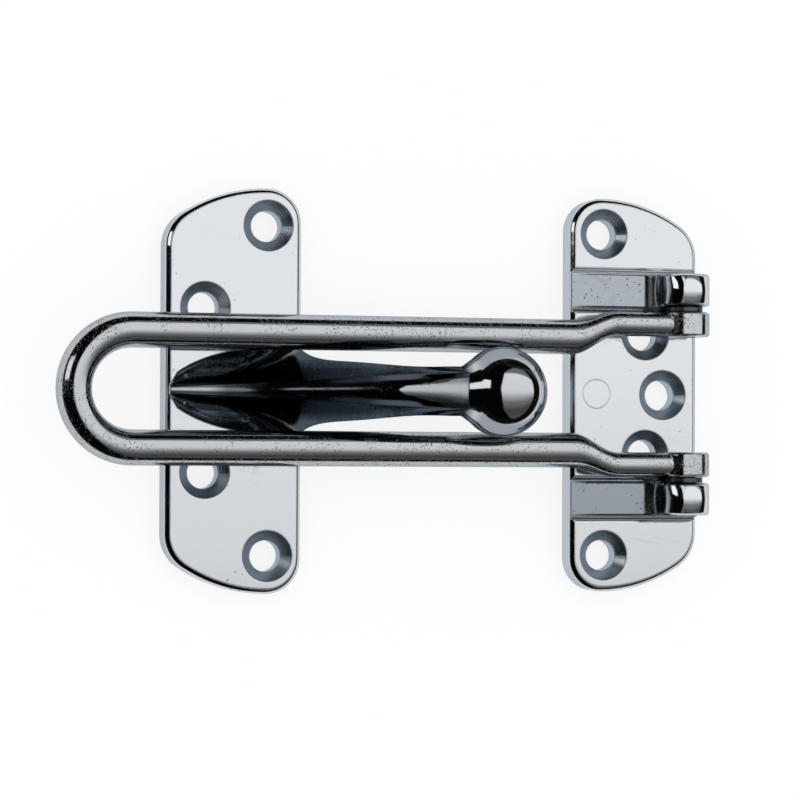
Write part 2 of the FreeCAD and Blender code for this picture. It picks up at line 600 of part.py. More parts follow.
def makeSwingBar():
    rod = document.addObject("PartDesign::Body", "rod_loop")
    pinX = size("plate_width") / 2 - size("knuckle_radius")
    pinText = "(sizes.plate_width / 2 - sizes.knuckle_radius)"
    startX, bendX = pinX - size("crank_start"), pinX - size("loop_length")
    spacing = size("rod_spacing") / 2
    path = newSketch(rod, "loop_path", "XY_Plane", "sizes.pin_height")
    bend = Part.Circle(Vector(bendX, 0, 0), Vector(0, 0, 1), spacing)
    path.addGeometry([
        Part.LineSegment(Vector(startX, spacing, 0), Vector(bendX, spacing, 0)),
        Part.ArcOfCircle(bend, math.pi / 2, math.pi * 1.5),
        Part.LineSegment(Vector(bendX, -spacing, 0), Vector(startX, -spacing, 0))], False)
    path.addConstraint(Sketcher.Constraint("Tangent", 0, 2, 1, 1))
    path.addConstraint(Sketcher.Constraint("Tangent", 1, 2, 2, 1))
    onAxis(path, 1, 3, "X")
    path.addConstraint(Sketcher.Constraint("Horizontal", 0))
    path.addConstraint(Sketcher.Constraint("Vertical", 0, 1, 2, 2))
    drive(path, "Radius", 1, value=spacing, expression="sizes.rod_spacing / 2", name="bend")
    drive(path, "DistanceX", -1, 1, 1, 3, value=bendX,
          expression=pinText + " - sizes.loop_length", name="bend_x")
    drive(path, "DistanceX", -1, 1, 0, 1, value=startX,
          expression=pinText + " - sizes.crank_start", name="start_x")
    profile = newSketch(rod, "rod_section", "YZ_Plane", pinText + " - sizes.crank_start")
    radius = size("rod_radius")
    pinZ = size("pin_height")
    profile.addGeometry(Part.Circle(Vector(spacing, pinZ, 0), Vector(0, 0, 1), radius), False)
    drive(profile, "Radius", 0, value=radius, expression="sizes.rod_radius", name="rod")
    drive(profile, "DistanceX", -1, 1, 0, 3, value=spacing, expression="sizes.rod_spacing / 2", name="leg")
    drive(profile, "DistanceY", -1, 1, 0, 3, value=pinZ, expression="sizes.pin_height", name="height")
    document.recompute()
    pipe = rod.newObject("PartDesign::AdditivePipe", "rod")
    pipe.Profile = profile
    pipe.Spine = (path, ["Edge1", "Edge2", "Edge3"])
    document.recompute()

    pieces = [rod]
    tools = []
    outward = eyeMiddle()
    eyeText = ("(sizes.lug_inner - sizes.washer_thickness - 2 * sizes.washer_clearance"
               " - sizes.eye_thickness)")
    for side, name in ((1, "upper"), (-1, "lower")):
        # the crank runs smoothly from the round rod to the flattened arm
        leg = document.addObject("Part::Feature", name + "_crank")
        shares = (0.0, 0.12, 0.5, 0.88, 1.0)
        wires = []
        for share in shares:
            turn = smooth(share)
            x = startX + size("crank_length") * share
            y = spacing + (outward - spacing) * turn
            halfWidth = radius + (size("eye_thickness") / 2 - radius) * turn
            halfHeight = radius + (size("arm_bar_half_height") - radius) * turn
            fullness = math.sqrt(0.5) + (size("arm_bar_fullness") - math.sqrt(0.5)) * turn
            wires.append(barSection(x, side * y, halfWidth, halfHeight, fullness))
        crank = Part.makeLoft(wires, True, False)
        arm = Part.Face(wires[-1]).extrude(Vector(size("crank_start") - size("crank_length"), 0, 0))
        leg.Shape = crank.fuse(arm)
        disc = document.addObject("Part::Cylinder", name + "_disc")
        bind(disc, Radius="sizes.eye_radius", Height="sizes.eye_thickness")
        bore = document.addObject("Part::Cylinder", name + "_eye_bore")
        bind(bore, Radius="sizes.pin_radius + sizes.pin_clearance", Height="sizes.eye_thickness * 2")
        start = eyeText if side > 0 else "-1 * " + eyeText + " - sizes.eye_thickness"
        place(disc, x=pinText, y=start, z="sizes.pin_height", rotation=alongY)
        document.recompute()
        eye = document.addObject("Part::Chamfer", name + "_eye")
        eye.Base = disc
        rims = [i + 1 for i, edge in enumerate(disc.Shape.Edges) if isinstance(edge.Curve, Part.Circle)]
        eye.Edges = [(rim, size("eye_edge_bevel"), size("eye_edge_bevel")) for rim in rims]
        place(bore, x=pinText, y=start + " - sizes.eye_thickness / 2", z="sizes.pin_height", rotation=alongY)
        pieces += [leg, eye]
        tools.append(bore)
    joined = document.addObject("Part::MultiFuse", "bar_blank")
    joined.Shapes = pieces
    bores = document.addObject("Part::MultiFuse", "eye_bores")
    bores.Shapes = tools
    bar = document.addObject("Part::Cut", "swing_bar")
    bar.Base = joined
    bar.Tool = bores
    return bar


# Pivot pins: plain, chamfered at both ends, flush with the lug outside and the eye inside
def makePin(name, side):
    body = document.addObject("PartDesign::Body", name)
    radius, chamfer = size("pin_radius"), size("pin_chamfer")
    start = "(sizes.lug_inner - sizes.washer_thickness - 2 * sizes.washer_clearance - sizes.eye_thickness)"
    startY = eyeMiddle() - size("eye_thickness") / 2
    length = size("lug_inner") + size("lug_thickness") - startY
    lengthText = "(sizes.lug_inner + sizes.lug_thickness - " + start + ")"
    radiusText, chamferText = "sizes.pin_radius", "sizes.pin_chamfer"
    loop = [(0, "0", 0, "0"),
            (radius - chamfer, radiusText + " - " + chamferText, 0, "0"),
            (radius, radiusText, chamfer, chamferText),
            (radius, radiusText, length - chamfer, lengthText + " - " + chamferText),
            (radius - chamfer, radiusText + " - " + chamferText, length, lengthText),
            (0, "0", length, lengthText)]
    profile = polygonSketch(body, "pin_profile", "XZ_Plane", "0", [loop])
    shaft = body.newObject("PartDesign::Revolution", "shaft")
    shaft.Profile = profile
    shaft.ReferenceAxis = (profile, ["V_Axis"])
    shaft.Angle = 360
    rotation = Rotation(Vector(1, 0, 0), -90 * side)
    place(body, x="sizes.plate_width / 2 - sizes.knuckle_radius",
          y=("" if side > 0 else "-1 * ") + start, z="sizes.pin_height", rotation=rotation)
    return body


# Washers: flat rings on the pins, between lug and eye
def makeWasher(name, side):
    body = document.addObject("PartDesign::Body", name)
    sketch = newSketch(body, "ring", "XY_Plane")
    hole = size("pin_radius") + size("pin_clearance")
    circles = [(size("washer_radius"), "sizes.washer_radius", "outside"),
               (hole, "sizes.pin_radius + sizes.pin_clearance", "hole")]
    for index, (radius, text, label) in enumerate(circles):
        sketch.addGeometry(Part.Circle(Vector(0, 0, 0), Vector(0, 0, 1), radius), False)
        sketch.addConstraint(Sketcher.Constraint("Coincident", index, 3, -1, 1))
        drive(sketch, "Radius", index, value=radius, expression=text, name=label)
    ring = body.newObject("PartDesign::Pad", "washer")
    ring.Profile = sketch
    bind(ring, Length="sizes.washer_thickness")
    start = "(sizes.lug_inner - sizes.washer_thickness - sizes.washer_clearance)"
    place(body, x="sizes.plate_width / 2 - sizes.knuckle_radius",
          y=("" if side > 0 else "-1 * ") + start, z="sizes.pin_height",
          rotation=Rotation(Vector(1, 0, 0), -90 * side))
    return body


subParts = [makeHingePlate(), makeBallPlate(), makeSwingBar()]
for side, name in ((1, "upper"), (-1, "lower")):
    subParts.append(makePin(name + "_pivot_pin", side))
    subParts.append(makeWasher(name + "_washer", side))
document.recompute()

for item in document.Objects:
    if "Invalid" in item.State or "Error" in item.State:
        raise ValueError("%s failed: %s" % (item.Label, item.State))

os.makedirs("parts", exist_ok=True)
for item in subParts:
    shape = item.Shape
    if shape.isNull() or not shape.isValid() or len(shape.Solids) != 1:
        raise ValueError("%s isn't one valid solid" % item.Label)
    box = shape.BoundBox
    print("%-18s volume %9.1f  x %7.2f %7.2f  y %7.2f %7.2f  z %7.2f %7.2f" % (
        item.Label, shape.Volume, box.XMin, box.XMax, box.YMin, box.YMax, box.ZMin, box.ZMax))
    shape.exportStep("parts/%s.step" % item.Label)
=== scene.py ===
import bpy
import json
from mathutils import Euler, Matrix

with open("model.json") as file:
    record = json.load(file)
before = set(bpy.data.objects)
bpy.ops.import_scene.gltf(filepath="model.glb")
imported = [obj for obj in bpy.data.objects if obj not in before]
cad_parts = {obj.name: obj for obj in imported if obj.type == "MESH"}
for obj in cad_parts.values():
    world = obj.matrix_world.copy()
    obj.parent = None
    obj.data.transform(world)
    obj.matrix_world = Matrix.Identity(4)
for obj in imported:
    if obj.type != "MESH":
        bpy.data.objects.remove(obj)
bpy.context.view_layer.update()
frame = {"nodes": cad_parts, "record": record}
nodes = frame["nodes"]
print("frame loaded:", sorted(nodes))


# Small helpers for node trees
def addNode(tree, kind, **values):
    node = tree.nodes.new(kind)
    for name, value in values.items():
        if hasattr(node, name):
            setattr(node, name, value)
        else:
            node.inputs[name.replace("_", " ")].default_value = value
    return node


def math2(tree, operation, first, second=None, clamp=False):
    # a math node; each input is a number or the socket that feeds it
    node = tree.nodes.new("ShaderNodeMath")
    node.operation = operation
    node.use_clamp = clamp
    for socket, value in zip(node.inputs, (first, second)):
        if value is None:
            continue
        if isinstance(value, (int, float)):
            socket.default_value = value
        else:
            tree.links.new(value, socket)
    return node.outputs[0]


def ramp(tree, value, stops):
    # stops: (position, grey level) pairs
    node = tree.nodes.new("ShaderNodeValToRGB")
    node.color_ramp.interpolation = "EASE"
    elements = node.color_ramp.elements
    elements[0].position, elements[-1].position = stops[0][0], stops[-1][0]
    for position, level in stops[1:-1]:
        elements.new(position)
    for element, (position, level) in zip(elements, stops):
        element.color = (level, level, level, 1)
    tree.links.new(value, node.inputs[0])
    return node.outputs[0]


def newGroup(name, inputs, outputs):
    # a shader node group; inputs and outputs map a socket's name to its kind and first value
    tree = bpy.data.node_groups.new(name, "ShaderNodeTree")
    for direction, sockets in (("INPUT", inputs), ("OUTPUT", outputs)):
        for label, (kind, value) in sockets.items():
            socket = tree.interface.new_socket(name=label, in_out=direction, socket_type=kind)
            if value is not None:
                socket.default_value = value
    return tree, tree.nodes.new("NodeGroupInput"), tree.nodes.new("NodeGroupOutput")


def useGroup(tree, group, **values):
    node = tree.nodes.new("ShaderNodeGroup")
    node.node_tree = group
    for label, value in values.items():
        socket = node.inputs[label]
        if hasattr(value, "is_output"):
            tree.links.new(value, socket)
        else:
            socket.default_value = value
    return node


print("materials")


# Fine straight scratches, gathered in patches
scratchShape = {"wander": 0.15, "thinness": 55.0, "patchScale": 140.0, "patchEdge": 8.0}


def makeScratchGroup():
    tree, inside, outside = newGroup(
        "fineScratches",
        {"Place": ("NodeSocketVector", None), "Length": ("NodeSocketFloat", 12.0),
         "Density": ("NodeSocketFloat", 260.0), "Cover": ("NodeSocketFloat", 0.5),
         "Turn": ("NodeSocketFloat", 0.3)},
        {"Mask": ("NodeSocketFloat", None)})
    link = tree.links.new
    turn = addNode(tree, "ShaderNodeVectorRotate", rotation_type="Z_AXIS")
    link(inside.outputs["Place"], turn.inputs["Vector"])
    link(inside.outputs["Turn"], turn.inputs["Angle"])
    stretch = addNode(tree, "ShaderNodeCombineXYZ")
    link(inside.outputs["Length"], stretch.inputs[0])
    link(inside.outputs["Density"], stretch.inputs[1])
    link(inside.outputs["Density"], stretch.inputs[2])
    scale = addNode(tree, "ShaderNodeVectorMath", operation="MULTIPLY")
    link(turn.outputs[0], scale.inputs[0])
    link(stretch.outputs[0], scale.inputs[1])
    noise = addNode(tree, "ShaderNodeTexNoise", Scale=1.0, Detail=2.0, Roughness=0.6,
                    Distortion=scratchShape["wander"])
    link(scale.outputs[0], noise.inputs["Vector"])
    near = math2(tree, "SUBTRACT", noise.outputs[0], 0.5)
    width = math2(tree, "MULTIPLY", math2(tree, "ABSOLUTE", near), scratchShape["thinness"])
    line = math2(tree, "SUBTRACT", 1.0, width, clamp=True)
    patches = addNode(tree, "ShaderNodeTexNoise", Scale=scratchShape["patchScale"], Detail=1.0)
    link(inside.outputs["Place"], patches.inputs["Vector"])
    limit = math2(tree, "SUBTRACT", 1.0, inside.outputs["Cover"])
    shown = math2(tree, "SUBTRACT", patches.outputs[0], limit)
    shown = math2(tree, "MULTIPLY", shown, scratchShape["patchEdge"], clamp=True)
    link(math2(tree, "MULTIPLY", line, shown), outside.inputs["Mask"])
    return tree


# Small pits and specks in the plating, gathered in patches
pitShape = {"raggedScale": 2600.0, "raggedness": 0.0009, "edge": 14.0, "patchScale": 170.0, "patchEdge": 10.0}


def makePitGroup():
    tree, inside, outside = newGroup(
        "platingPits",
        {"Place": ("NodeSocketVector", None), "Spacing": ("NodeSocketFloat", 900.0),
         "Size": ("NodeSocketFloat", 0.16), "Cover": ("NodeSocketFloat", 0.4)},
        {"Mask": ("NodeSocketFloat", None)})
    link = tree.links.new
    ragged = addNode(tree, "ShaderNodeTexNoise", Scale=pitShape["raggedScale"], Detail=2.0)
    link(inside.outputs["Place"], ragged.inputs["Vector"])
    push = addNode(tree, "ShaderNodeVectorMath", operation="SCALE", Scale=pitShape["raggedness"])
    link(ragged.outputs["Color"], push.inputs[0])
    pushed = addNode(tree, "ShaderNodeVectorMath", operation="ADD")
    link(inside.outputs["Place"], pushed.inputs[0])
    link(push.outputs[0], pushed.inputs[1])
    cells = addNode(tree, "ShaderNodeTexVoronoi", feature="F1")
    link(pushed.outputs[0], cells.inputs["Vector"])
    link(inside.outputs["Spacing"], cells.inputs["Scale"])
    depth = math2(tree, "SUBTRACT", inside.outputs["Size"], cells.outputs["Distance"])
    spot = math2(tree, "MULTIPLY", depth, pitShape["edge"], clamp=True)
    patches = addNode(tree, "ShaderNodeTexNoise", Scale=pitShape["patchScale"], Detail=2.0)
    link(inside.outputs["Place"], patches.inputs["Vector"])
    limit = math2(tree, "SUBTRACT", 1.0, inside.outputs["Cover"])
    shown = math2(tree, "SUBTRACT", patches.outputs[0], limit)
    shown = math2(tree, "MULTIPLY", shown, pitShape["patchEdge"], clamp=True)
    link(math2(tree, "MULTIPLY", spot, shown), outside.inputs["Mask"])
    return tree


# One turned countersink: a mask inside a circle, its outline, along which painted shade is laid, and the
# tool's rings.
# Its centre lies 1 mm over the plate's back, and its depth under that stops short of the back.
sinkShape = {"radius": 0.0044, "edge": 30000.0, "rimThinness": 7000.0, "ringTurns": 15000.0,
             "depth": 0.0008, "depthEdge": 10000.0}


def makeCountersinkGroup():
    tree, inside, outside = newGroup(
        "turnedSink",
        {"Place": ("NodeSocketVector", None), "Centre": ("NodeSocketVector", None),
         "Radius": ("NodeSocketFloat", sinkShape["radius"])},
        {"Mask": ("NodeSocketFloat", None), "Rings": ("NodeSocketFloat", None),
         "Rim": ("NodeSocketFloat", None)})
    link = tree.links.new
    away = addNode(tree, "ShaderNodeVectorMath", operation="SUBTRACT")
    link(inside.outputs["Place"], away.inputs[0])
    link(inside.outputs["Centre"], away.inputs[1])
    flat = addNode(tree, "ShaderNodeVectorMath", operation="MULTIPLY")
    link(away.outputs[0], flat.inputs[0])
    flat.inputs[1].default_value = (1, 1, 0)
    length = addNode(tree, "ShaderNodeVectorMath", operation="LENGTH")
    link(flat.outputs[0], length.inputs[0])
    gap = math2(tree, "SUBTRACT", inside.outputs["Radius"], length.outputs["Value"])
    height = addNode(tree, "ShaderNodeSeparateXYZ")
    link(away.outputs[0], height.inputs[0])
    above = math2(tree, "ADD", height.outputs[2], sinkShape["depth"])
    above = math2(tree, "MULTIPLY", above, sinkShape["depthEdge"], clamp=True)
    mask = math2(tree, "MULTIPLY", math2(tree, "MULTIPLY", gap, sinkShape["edge"], clamp=True), above)
    rings = math2(tree, "SINE", math2(tree, "MULTIPLY", length.outputs["Value"], sinkShape["ringTurns"]))
    rim = math2(tree, "MULTIPLY", math2(tree, "ABSOLUTE", gap), sinkShape["rimThinness"])
    rim = math2(tree, "MULTIPLY", math2(tree, "SUBTRACT", 1.0, rim, clamp=True), above)
    link(mask, outside.inputs["Mask"])
    link(rim, outside.inputs["Rim"])
    link(math2(tree, "MULTIPLY", rings, mask), outside.inputs["Rings"])
    return tree


# A soft-edged box on the object, for places where the finish differs and for places where shade is painted
def makeZoneGroup():
    tree, inside, outside = newGroup(
        "finishAndShadeZone",
        {"Place": ("NodeSocketVector", None), "Low": ("NodeSocketVector", None),
         "High": ("NodeSocketVector", None), "Soft": ("NodeSocketVector", (0.0003, 0.0003, 0.0003))},
        {"Mask": ("NodeSocketFloat", None)})
    link = tree.links.new
    scaled = []
    for first, second in (("Place", "Low"), ("High", "Place")):
        depth = addNode(tree, "ShaderNodeVectorMath", operation="SUBTRACT")
        link(inside.outputs[first], depth.inputs[0])
        link(inside.outputs[second], depth.inputs[1])
        scale = addNode(tree, "ShaderNodeVectorMath", operation="DIVIDE")
        link(depth.outputs[0], scale.inputs[0])
        link(inside.outputs["Soft"], scale.inputs[1])
        scaled.append(scale.outputs[0])
    nearest = addNode(tree, "ShaderNodeVectorMath", operation="MINIMUM")
    link(scaled[0], nearest.inputs[0])
    link(scaled[1], nearest.inputs[1])
    parts = addNode(tree, "ShaderNodeSeparateXYZ")
    link(nearest.outputs[0], parts.inputs[0])
    sides = [math2(tree, "MINIMUM", math2(tree, "MAXIMUM", part, 0.0), 1.0) for part in parts.outputs]
    flat = math2(tree, "MULTIPLY", sides[0], sides[1])
    link(math2(tree, "MULTIPLY", flat, sides[2]), outside.inputs["Mask"])
    return tree


# A soft-edged oval on the object, turned about the upward axis; it also carries painted shade
ovalSharpness = 20.0


def makeOvalGroup():
    tree, inside, outside = newGroup(
        "finishAndShadeOval",
        {"Place": ("NodeSocketVector", None), "Centre": ("NodeSocketVector", None),
         "Turn": ("NodeSocketFloat", 0.0), "Reach": ("NodeSocketVector", (0.005, 0.0018, 0.0015))},
        {"Mask": ("NodeSocketFloat", None)})
    link = tree.links.new
    away = addNode(tree, "ShaderNodeVectorMath", operation="SUBTRACT")
    link(inside.outputs["Place"], away.inputs[0])
    link(inside.outputs["Centre"], away.inputs[1])
    turn = addNode(tree, "ShaderNodeVectorRotate", rotation_type="Z_AXIS")
    link(away.outputs[0], turn.inputs["Vector"])
    link(inside.outputs["Turn"], turn.inputs["Angle"])
    scale = addNode(tree, "ShaderNodeVectorMath", operation="DIVIDE")
    link(turn.outputs[0], scale.inputs[0])
    link(inside.outputs["Reach"], scale.inputs[1])
    length = addNode(tree, "ShaderNodeVectorMath", operation="LENGTH")
    link(scale.outputs[0], length.inputs[0])
    edge = math2(tree, "SUBTRACT", 1.0, length.outputs["Value"])
    link(math2(tree, "MULTIPLY", edge, ovalSharpness, clamp=True), outside.inputs["Mask"])
    return tree


scratchGroup = makeScratchGroup()
pitGroup = makePitGroup()
sinkGroup = makeCountersinkGroup()
zoneGroup = makeZoneGroup()
ovalGroup = makeOvalGroup()

# what the plated pieces share; softEdge and bumpDepth are in metres, the other depths are parts of bumpDepth
castPlating = {
    "tint": (0.615, 0.64, 0.665), "edgeTint": (0.60, 0.66, 0.72), "speckTint": (0.10, 0.115, 0.13),
    # sinkTint: the countersinks' duller plating, together with painted shade in the recess
    "sinkTint": (0.48, 0.54, 0.59), "roughness": 0.05, "smudge": 0.05, "sinkRoughness": 0.22,
    "waveHeight": 0.10, "waveScale": 260.0, "pitCover": 0.42, "pitSpacing": 1000.0, "pitSize": 0.18,
    "scratchCover": 0.47, "softEdge": 0.0004, "edgeSamples": 10, "bumpDepth": 0.000035,
    "smudgeScale": 95.0, "smudgeFade": [(0.35, 0.0), (0.75, 1.0)],
    "pitShade": 0.85, "pitRoughness": 0.3, "pitDepth": 0.25, "scratchRoughness": 0.18, "scratchDepth": 0.05,
    # a second set of scratches: its direction, its density, and how much thinner it is spread
    "crossTurn": 1.9, "crossDensity": 330.0, "crossThinner": 0.03,
    "rimShade": 0.65, "ringDepth": 0.09,
    # the buffed rounding over the plates' bevels: between which heights in metres, how it rises and turns
    "edgeRound": {"bottom": 0.0036, "top": 0.0045, "outset": 0.000509, "turning": 0.000382},
}

# places where the finish differs, and places where shade is painted: a box in metres, its soft edge, and what
# changes in it
hingeZones = [
    # the strips that carry the lugs: duller, pitted plating, darkened further with painted shade beside the
    # lugs, the lower strip more than the upper
    {"low": (-0.0125, 0.0153, 0.004), "high": (0.0042, 0.0217, 0.02), "soft": 0.0003,
     "shade": (0.56, 0.585, 0.61), "rough": 0.10, "pits": 0.34},
    {"low": (-0.0125, -0.0217, 0.004), "high": (0.0042, -0.0153, 0.02), "soft": 0.0003,
     "shade": (0.46, 0.49, 0.52), "rough": 0.10, "pits": 0.30},
    # the buffed knuckles, a little barrel-shaped
    {"low": (0.0030, 0.0150, 0.0047), "high": (0.0150, 0.0220, 0.03), "soft": (0.0030, 0.0001, 0.0001),
     "crown": (0.70, 0.0030, 0.0185)},
    {"low": (0.0030, -0.0220, 0.0047), "high": (0.0150, -0.0150, 0.03), "soft": (0.0030, 0.0001, 0.0001),
     "crown": (0.70, 0.0030, -0.0185)},
    # a worn patch, and a rougher spot under the upper arm of the bar, darkened with a painted reflection of
    # the bar's dark underside
    {"low": (-0.0080, 0.0058, 0.0044), "high": (-0.0032, 0.0098, 0.0047), "soft": 0.0010,
     "shade": (0.97, 0.97, 0.97), "rough": 0.03, "pits": 0.40},
    {"low": (-0.0068, 0.0086, 0.0044), "high": (-0.0040, 0.0112, 0.0047), "soft": 0.0009,
     "shade": (0.34, 0.37, 0.40), "rough": 0.20, "pits": 0.10},
]
# the plate's face at the bottom of the hollows beside the nose of the arm: centre, turn, reach; the low flank
# zones lay painted shade on it
hollowFloors = [((-0.0764, 0.00380, 0.0045), -0.25, (0.0056, 0.0019, 0.0015)),
                ((-0.0764, -0.00380, 0.0045), 0.25, (0.0056, 0.0019, 0.0015))]
ballZones = [
    # the arm, then the ball, both darker than the plates' chrome with painted shade, the arm more than the
    # ball
    {"low": (-0.0862, -0.009, 0.00453), "high": (-0.0359, 0.009, 0.03), "soft": (0.0001, 0.0001, 0.0001),
     "shade": (0.60, 0.61, 0.625)},
    {"low": (-0.0365, -0.009, 0.0), "high": (-0.0180, 0.009, 0.03), "soft": (0.0004, 0.0001, 0.0001),
     "shade": (0.80, 0.80, 0.81)},
    # the lower part of the ball, darker with painted shade
    {"low": (-0.0345, -0.009, 0.0), "high": (-0.0180, 0.009, 0.0213), "soft": (0.0010, 0.0001, 0.0006),
     "shade": (0.62, 0.645, 0.665)},
    # the flanks of the arm: painted shade where they lean sideways, and a little rougher
    {"low": (-0.0862, -0.009, 0.00453), "high": (-0.0348, 0.009, 0.03), "soft": (0.0012, 0.0001, 0.0001),
     "shade": (0.17, 0.205, 0.225), "rough": 0.04, "steep": (0.14, 0.34)},
    # the low flanks near the nose and, through the ovals, the plate's face in the hollows beside it: painted
    # shade
    {"low": (-0.0862, 0.0014, 0.00453), "high": (-0.0640, 0.009, 0.03), "soft": (0.0020, 0.00008, 0.00008),
     "shade": (0.36, 0.40, 0.43), "rough": 0.03, "ovals": hollowFloors[:1]},
    {"low": (-0.0862, -0.009, 0.00453), "high": (-0.0640, -0.0014, 0.03), "soft": (0.0020, 0.00008, 0.00008),
     "shade": (0.36, 0.40, 0.43), "rough": 0.03, "ovals": hollowFloors[1:]},
    # the pitted stretch of the crest: real pits and roughness, darkened with painted shade that damps the
    # crest's highlight
    {"low": (-0.0780, -0.004, 0.0046), "high": (-0.0500, 0.004, 0.03), "soft": (0.0030, 0.0001, 0.0001),
     "shade": (0.34, 0.36, 0.38), "rough": 0.12, "pits": 0.36},
    # the hollow ground into the flanks, and the rounder crest of the neck
    {"low": (-0.0962, -0.009, 0.00453), "high": (-0.0500, 0.009, 0.03), "soft": (0.0100, 0.0001, 0.0001),
     "crown": (0.60, 0.0013, 0.0), "ovals": hollowFloors},
    {"low": (-0.0600, -0.009, -0.01), "high": (-0.0365, 0.009, 0.03), "soft": (0.0100, 0.0001, 0.0001),
     "crown": (0.75, 0.0021, 0.0)},
]

barPlating = dict(castPlating, tint=(0.46, 0.478, 0.496), roughness=0.09, waveHeight=0.16, pitCover=0.60,
                  pitSpacing=2100.0, pitSize=0.30, scratchCover=0.53, edgeRound=None)

# the pins and washers: steel darkened to near black with painted shade, as they sit in the gap between lug
# and eye
pinSteelPaintedShade = dict(castPlating, tint=(0.09, 0.095, 0.10), roughness=0.26, smudge=0.12, pitCover=0.4,
                edgeRound=None)


def screwHoleCentres():
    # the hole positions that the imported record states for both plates
    centres = []
    for mount in frame["record"]["mounts"]:
        if mount["kind"] not in ("bolt_pattern", "bore"):
            continue
        x, y, z = mount["pos_m"]
        step = mount["dims"].get("spacing_y_mm", 0) / 2000
        centres += [(x, y + side * step, z) for side in ((1, -1) if step else (0,))]
    return centres


def makeChrome(name, look, sinks=(), zones=()):
    material = bpy.data.materials.new(name)
    material.use_nodes = True
    tree = material.node_tree
    tree.nodes.clear()
    link = tree.links.new
    shader = addNode(tree, "ShaderNodeBsdfPrincipled", Metallic=1.0)
    shader.inputs["Specular Tint"].default_value = (*look["edgeTint"], 1)
    surface = addNode(tree, "ShaderNodeOutputMaterial")
    link(shader.outputs[0], surface.inputs[0])
    coordinates = addNode(tree, "ShaderNodeTexCoord")
    place = coordinates.outputs["Object"]
    lean = addNode(tree, "ShaderNodeSeparateXYZ")
    link(coordinates.outputs["Normal"], lean.inputs[0])
    sideways = math2(tree, "ABSOLUTE", lean.outputs[1])
    masks = []
    pitCover = look["pitCover"]
    for zone in zones:
        soft = zone["soft"] if isinstance(zone["soft"], tuple) else (zone["soft"],) * 3
        mask = useGroup(tree, zoneGroup, Place=place, Low=zone["low"], High=zone["high"],
                        Soft=soft).outputs["Mask"]
        for centre, angle, reach in zone.get("ovals", ()):
            oval = useGroup(tree, ovalGroup, Place=place, Centre=centre, Turn=angle, Reach=reach)
            mask = math2(tree, "MAXIMUM", mask, oval.outputs["Mask"])
        # fades the zone in on faces that lean sideways; it carries the painted shade on the arm's flanks
        if "steep" in zone:
            start, full = zone["steep"]
            steep = math2(tree, "SUBTRACT", sideways, start)
            steep = math2(tree, "DIVIDE", steep, full - start, clamp=True)
            mask = math2(tree, "MULTIPLY", mask, steep)
        masks.append(mask)
        if "pits" in zone:
            pitCover = math2(tree, "ADD", math2(tree, "MULTIPLY", mask, zone["pits"]), pitCover)

    scratches = useGroup(tree, scratchGroup, Place=place, Cover=look["scratchCover"]).outputs["Mask"]
    crossed = useGroup(tree, scratchGroup, Place=place, Cover=look["scratchCover"] - look["crossThinner"],
                       Turn=look["crossTurn"], Density=look["crossDensity"]).outputs["Mask"]
    marks = math2(tree, "MAXIMUM", scratches, crossed)
    pits = useGroup(tree, pitGroup, Place=place, Cover=pitCover, Spacing=look["pitSpacing"],
                    Size=look["pitSize"]).outputs["Mask"]
    smudge = addNode(tree, "ShaderNodeTexNoise", Scale=look["smudgeScale"], Detail=4.0, Roughness=0.6)
    link(place, smudge.inputs["Vector"])
    cloud = ramp(tree, smudge.outputs[0], look["smudgeFade"])

    tone = addNode(tree, "ShaderNodeMix", data_type="RGBA")
    tone.inputs[6].default_value = (*look["tint"], 1)
    tone.inputs[7].default_value = (*look["speckTint"], 1)
    link(math2(tree, "MULTIPLY", pits, look["pitShade"]), tone.inputs[0])
    colour = tone.outputs[2]
    rough = math2(tree, "ADD", math2(tree, "MULTIPLY", cloud, look["smudge"]), look["roughness"])
    rough = math2(tree, "ADD", rough, math2(tree, "MULTIPLY", marks, look["scratchRoughness"]))
    rough = math2(tree, "ADD", rough, math2(tree, "MULTIPLY", pits, look["pitRoughness"]))

    for zone, mask in zip(zones, masks):
        if "shade" in zone:
            shade = addNode(tree, "ShaderNodeMix", data_type="RGBA", blend_type="MULTIPLY")
            link(mask, shade.inputs[0])
            link(colour, shade.inputs[6])
            shade.inputs[7].default_value = (*zone["shade"], 1)
            colour = shade.outputs[2]
        if "rough" in zone:
            rough = math2(tree, "ADD", rough, math2(tree, "MULTIPLY", mask, zone["rough"]))

    waves = addNode(tree, "ShaderNodeTexNoise", Scale=look["waveScale"], Detail=1.0)
    link(place, waves.inputs["Vector"])
    height = math2(tree, "MULTIPLY", waves.outputs[0], look["waveHeight"])
    height = math2(tree, "SUBTRACT", height, math2(tree, "MULTIPLY", marks, look["scratchDepth"]))
    height = math2(tree, "SUBTRACT", height, math2(tree, "MULTIPLY", pits, look["pitDepth"]))

    across = addNode(tree, "ShaderNodeSeparateXYZ")
    link(place, across.inputs[0])
    for zone, mask in zip(zones, masks):
        if "crown" in zone:
            # the surface falls away from the middle line, at a slope that grows over the width
            slope, width, middle = zone["crown"]
            reach = math2(tree, "SUBTRACT", across.outputs[1], middle)
            reach = math2(tree, "MULTIPLY", reach, reach)
            reach = math2(tree, "SQRT", math2(tree, "ADD", reach, width * width))
            reach = math2(tree, "SUBTRACT", reach, width)
            fall = math2(tree, "MULTIPLY", math2(tree, "MULTIPLY", reach, slope / look["bumpDepth"]), mask)
            height = math2(tree, "SUBTRACT", height, fall)

    inside, rims = None, None
    for centre in sinks:
        sink = useGroup(tree, sinkGroup, Place=place, Centre=centre).outputs
        inside = sink["Mask"] if inside is None else math2(tree, "MAXIMUM", inside, sink["Mask"])
        rims = sink["Rim"] if rims is None else math2(tree, "MAXIMUM", rims, sink["Rim"])
        height = math2(tree, "ADD", height, math2(tree, "MULTIPLY", sink["Rings"], look["ringDepth"]))
